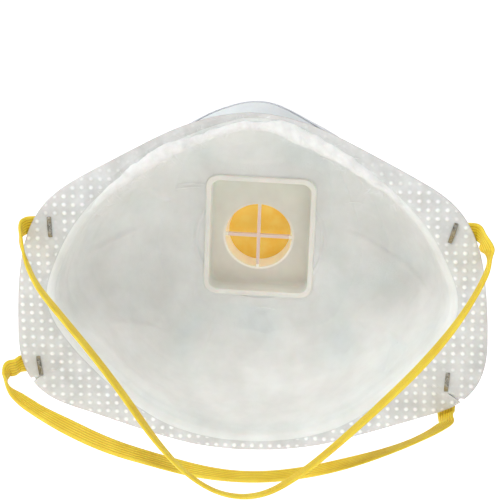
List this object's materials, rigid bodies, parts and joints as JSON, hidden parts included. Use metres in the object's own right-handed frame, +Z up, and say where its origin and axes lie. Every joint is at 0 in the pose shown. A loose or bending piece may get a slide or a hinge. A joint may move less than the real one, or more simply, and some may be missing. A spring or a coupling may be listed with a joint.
{
  "type": "disposable dust mask",
  "caption": "White cup-shaped disposable dust mask with an exhalation valve, a dotted bonded flange, staples and yellow ribbed rubber headbands.",
  "frame": {"origin": "middle of the face-seal plane, on the valve's axis", "axes": "+Z up towards the nose, -Y forwards out of the valve, +Y towards the face, +X to the wearer's left"},
  "size_m": [0.147, 0.1028, 0.1069],
  "materials": {
    "shell_web": "matte non-woven, point bonded",
    "cover_web": "matte non-woven",
    "filter_web": "matte meltblown web",
    "liner_web": "soft fuzzy non-woven",
    "nose_clip": "soft rolled strip",
    "adhesive": "hot-melt film",
    "foam": "soft open-cell foam",
    "staple": "flattened wire",
    "band": "ribbed, satin",
    "valve_body": "translucent moulded",
    "valve_cover": "fine moulded texture",
    "diaphragm": "smooth thin sheet"
  },
  "bodies": {
    "mask": {"stiffening_shell": "shell_web", "outer_cover": "cover_web", "filter_layer": "filter_web", "inner_liner": "liner_web", "nose_clip": "nose_clip", "nose_clip_adhesive": "adhesive", "nose_foam": "foam", "staple_upper_left": "staple", "staple_upper_right": "staple", "staple_lower_left": "staple", "staple_lower_right": "staple", "upper_headband_ends": "band", "lower_headband_ends": "band", "valve_seat": "valve_body", "valve_cover": "valve_cover", "valve_flap_root": "diaphragm"},
    "upper_band": {"upper_headband": "band"},
    "lower_band": {"lower_headband": "band"},
    "flap": {"valve_flap": "diaphragm"}
  },
  "joints": [
    {"name": "upper_headband_swing", "type": "hinge", "parent": "mask", "child": "upper_band", "pos_m": [0, 0.0016, 0.0168], "axis": [1, 0, 0], "range_deg": [0, 120], "stiffness_Nm_per_rad": 0.01},
    {"name": "lower_headband_swing", "type": "hinge", "parent": "mask", "child": "lower_band", "pos_m": [0.0716, 0.0016, -0.028], "axis": [0.9945, -0.0076, 0.104], "range_deg": [-30, 90], "stiffness_Nm_per_rad": 0.01},
    {"name": "valve_flap_open", "type": "hinge", "parent": "mask", "child": "flap", "pos_m": [0, -0.05127, 0.012], "axis": [-1, 0, 0], "range_deg": [0, 14], "stiffness_Nm_per_rad": 0.001}
  ]
}
